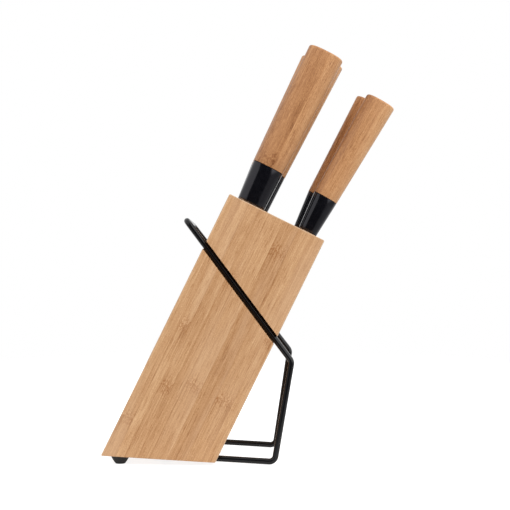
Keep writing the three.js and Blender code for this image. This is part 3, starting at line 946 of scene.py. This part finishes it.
def blade_edges(knife, z):
    """How far the spine and the edge lie from the blade's straight back, at a height z.

    Heights are from the bottom of the ferrule, so they are negative along the blade.
    """
    blade = BLADES[knife]
    length, width, tip = blade["length"], blade["width"], blade["width"] * blade["tip"]
    spine = 0.0
    start, middle = SPINE_CURVE
    if z < -length * start:
        t = solve_quadratic(-length * start, -length * middle, -length, z)
        spine = quadratic(0.0, 0.0, tip, t)
    edge = (serrated_edge if knife == "bread" else plain_edge)(length, width, tip, z)
    if z > -HEEL - HEEL_ROUND:
        t = min((z + HEEL + HEEL_ROUND) / HEEL_ROUND, 1.0) ** HEEL_POWER
        edge = quadratic(width, width, width - HEEL_ROUND, t)
    return spine, edge


def blade_section(blade, near, z):
    """A ring of the blade or the tang from the points of one side, (distance from the back, y)."""
    ring = [(x, -y) for x, y in near] + [(x, y) for x, y in near[::-1]]
    sign = blade["edge_side"]
    if sign < 0:
        ring = ring[::-1]
    return [((blade["spine"] + sign * x) * MM, y * MM, z * MM) for x, y in ring]


def blade_ring(blade, z, spine, edge):
    """A flat-ground section: squared spine, thin behind the edge, and a small polished bevel."""
    full = blade["thickness"] / 2
    width = max(edge - spine, 0.02)

    def half(distance):
        return full * (1 - GRIND * min(distance, blade["width"]) / blade["width"])

    bevel = min(BEVEL, width * 0.35)
    relief = min(SPINE_ROUND, width * 0.2)
    near = [
        (spine, half(spine) - min(relief, half(spine) * 0.4)),
        (spine + relief, half(spine + relief)),
        (spine + width * 0.3, half(spine + width * 0.3)),
        (spine + width * 0.6, half(spine + width * 0.6)),
        (edge - bevel, half(edge - bevel)),
        (edge - bevel * 0.5, half(edge - bevel) * 0.55),
        (edge, EDGE_HALF),
    ]
    return blade_section(blade, near, z)


def tang_ring(blade, low, high, z, count):
    """A section of the tang, a flat bar as thick as the blade's back, with count points a side."""
    half = blade["thickness"] / 2
    near = [(low + (high - low) * i / (count - 1), half) for i in range(count)]
    return blade_section(blade, near, z)


def make_blade(knife, material):
    """One skin from the tip up to the heel, in at the shoulders, and up the tang."""
    blade = BLADES[knife]
    length = blade["length"]
    steps = SERRATED_STEPS if knife == "bread" else BLADE_STEPS
    even = length - HEEL - HEEL_ROUND - 2
    heights = [-length + height for height in TIP_HEIGHTS]
    heights += [-length + TIP_END + even * i / steps for i in range(steps + 1)]
    heights += [-HEEL - HEEL_ROUND + 0.5 * i for i in range(2 * HEEL_ROUND + 1)]
    rings = [blade_ring(blade, z, *blade_edges(knife, z)) for z in heights]

    reach = blade["tang"] / 2
    back = abs(blade["spine"])
    low, high = back - reach, back + reach
    top = blade["tang_top"]
    count = len(rings[0]) // 2
    rings.append(tang_ring(blade, low, high, -HEEL + 0.02, count))
    rings.append(tang_ring(blade, low, high, top - TANG_POINT, count))
    rings.append(tang_ring(blade, low, high - reach / 2, top, count))
    mesh = rings_to_mesh(f"{knife}_blade", rings)
    return new_piece(
        f"{knife}_steel", mesh, material, f"{knife}_knife", "blade_steel", f"{knife}_blade"
    )


# ---- the floor, the light and the camera ---------------------------------------------------------

def make_floor():
    """A pale disc that fades out round the object and glows a little."""
    bpy.ops.mesh.primitive_circle_add(
        vertices=96, radius=FLOOR_RADIUS, fill_type="TRIFAN", location=FLOOR_MIDDLE
    )
    floor = bpy.context.object
    floor.name = "floor"
    r = Recipe("floor_white")
    spot = r.place(LocalFrame(0.0), unit=1.0)
    outward = r.node("ShaderNodeVectorMath", {0: spot}, operation="LENGTH").outputs["Value"]
    fade = r.span(outward, *FLOOR_FADE, 1.0, 0.0, smooth=True)
    grain = r.noise(spot, 900.0, 900.0, 2.0, 0.5)
    seen = r.node("ShaderNodeLightPath").outputs["Is Camera Ray"]
    glow = r.span(seen, 0.0, 1.0, *FLOOR_GLOW)
    rough = r.span(grain, 0.3, 0.7, 0.7, 0.8)
    r.finish(Base_Color=(0.5, 0.5, 0.5, 1), Roughness=rough, Alpha=fade)
    r.finish(Emission_Color=(1, 1, 1, 1), Emission_Strength=glow)
    floor.data.materials.append(r.material)


def make_world():
    """A white room behind, bright walls left and right, a pale floor further out and dark in front.

    The camera itself sees plain white.
    """
    world = bpy.data.worlds.new("studio")
    bpy.context.scene.world = world
    r = Recipe("studio", world)
    r.tree.nodes.clear()
    direction = r.node("ShaderNodeTexCoord").outputs["Generated"]
    x, y, z = r.split(direction)
    flat = r.node("ShaderNodeVectorMath", {0: r.join(x, y, 0.0)}, operation="NORMALIZE")
    side, ahead, _ = r.split(flat.outputs[0])
    behind = r.span(ahead, -0.1, 0.25, 0.0, BACK_LIGHT, smooth=True)
    left_wall = r.span(side, -0.46, -0.40, 1.0, 0.0, smooth=True)
    left = r.calc("MULTIPLY", left_wall, r.span(z, 0.0, 0.2, *LEFT_LIGHT))
    right_wall = r.span(side, 0.22, 0.40, smooth=True)
    right = r.calc("MULTIPLY", right_wall, r.span(z, -0.1, 0.1, *RIGHT_LIGHT))
    above = r.span(z, 0.55, 0.80, 0.0, TOP_LIGHT, smooth=True)
    below = r.span(z, -0.36, -0.2, LOW_LIGHT, 0.0, smooth=True)
    strength = DARK_LIGHT
    for part in (behind, left, right, above, below):
        strength = r.calc("MAXIMUM", strength, part)
    seen = r.node("ShaderNodeBackground", {"Color": (1, 1, 1, 1), "Strength": 1.0})
    lit = r.node("ShaderNodeBackground", {"Color": (1, 1, 1, 1), "Strength": strength})
    by_camera = r.node("ShaderNodeLightPath").outputs["Is Camera Ray"]
    mixed = r.node("ShaderNodeMixShader", {0: by_camera, 1: lit.outputs[0], 2: seen.outputs[0]})
    r.node("ShaderNodeOutputWorld", {"Surface": mixed.outputs[0]})


def make_lamp():
    data = bpy.data.lights.new("high_front", "AREA")
    data.shape = "RECTANGLE"
    data.size, data.size_y = LAMP_SIZE
    data.energy = LAMP_WATTS
    lamp = bpy.data.objects.new("high_front", data)
    lamp.location = LAMP_PLACE
    toward = Vector(LAMP_AIM) - Vector(LAMP_PLACE)
    lamp.rotation_euler = toward.to_track_quat("-Z", "Y").to_euler()
    lamp.visible_glossy = False
    bpy.context.scene.collection.objects.link(lamp)


def make_camera():
    data = bpy.data.cameras.new("camera")
    data.lens = CAMERA_LENS
    data.sensor_width = CAMERA_SENSOR
    data.shift_x, data.shift_y = CAMERA_SHIFT
    data.clip_start, data.clip_end = CAMERA_CLIP
    camera = bpy.data.objects.new("camera", data)
    camera.location = CAMERA_PLACE
    camera.rotation_euler = (math.pi / 2, 0, 0)
    bpy.context.scene.collection.objects.link(camera)
    bpy.context.scene.camera = camera


# ---- everything together -------------------------------------------------------------------------

def paint(node, material):
    piece = frame["nodes"][node]
    piece.data.materials.clear()
    piece.data.materials.append(material)


def paint_block():
    """Bamboo on the boards, each with its own layers, and on the strips between them."""
    spots = block.inside(board_vertices()) / MM
    rim = (spots[:, 0].max() - spots[:, 0].min(), spots[:, 1].max())
    for i, board in enumerate(BOARDS):
        node = f"{board}_board"
        ys = vertices(node)[:, 1] / MM
        deep = ys.max() - ys.min()
        outer, inwards = (ys.min(), 1) if board.startswith("right") else (ys.max(), -1)
        depth = (outer, inwards, deep / max(round(deep / LAYER), 1))
        cheek = board.endswith("cheek")
        strips = CHEEK_STRIPS if cheek else INNER_STRIPS[i:] + INNER_STRIPS[:i]
        paint(node, bamboo(f"bamboo_{board}", block, strips, BLOCK_COLOURS, i, depth, rim=rim))
    for i, knife in enumerate(KNIVES):
        strips = INNER_STRIPS[i + 1:] + INNER_STRIPS[:i + 1]
        name = f"bamboo_{knife}_layer"
        shared = bamboo(name, block, strips, BLOCK_COLOURS, STRIP_SEED + i)
        for place in ("front", "back", "end"):
            paint(f"{knife}_{place}_strip", shared)


def finish_pieces(pieces, degrees):
    """Shades each piece and joins it to the frame."""
    for piece, join in pieces:
        smooth_by_angle(piece.data, degrees)
        bpy.context.view_layer.update()
        join()


def make_knives():
    plastic = gloss_plastic("black_gloss_plastic")
    start = LocalFrame(0.0, (HANDLE_STRIPS_START * MM, 0, 0))
    for i, knife in enumerate(KNIVES):
        # The handles' strips carry painted light on their +X side and painted shade on the other.
        name, strips = f"bamboo_{knife}_handle", HANDLE_STRIPS_AND_SIDE_LIGHT[knife]
        grain = bamboo(name, start, strips, HANDLE_COLOURS, KNIFE_SEED + i, **HANDLE_LOOK)
        metal = steel(f"steel_{knife}")
        pieces = (make_handle(knife, grain), make_ferrule(knife, plastic), make_blade(knife, metal))
        for piece, _ in pieces:
            piece.matrix_world = knives[knife].matrix()
        finish_pieces(pieces, SHARP_ANGLES["knives"])


def make_stand_and_feet():
    pieces = [make_rod(black_coat("black_coat"))]
    for side in ("right", "left"):
        pieces.append(make_foot(side, foot_rubber(f"rubber_{side}")))
        pieces.append(make_screw(side, zinc(f"zinc_{side}")))
    finish_pieces(pieces, SHARP_ANGLES["stand"])


def main():
    make_camera()
    make_world()
    make_lamp()
    make_floor()
    bpy.context.scene.view_settings.view_transform = "Standard"
    paint_block()
    make_knives()
    make_stand_and_feet()


main()
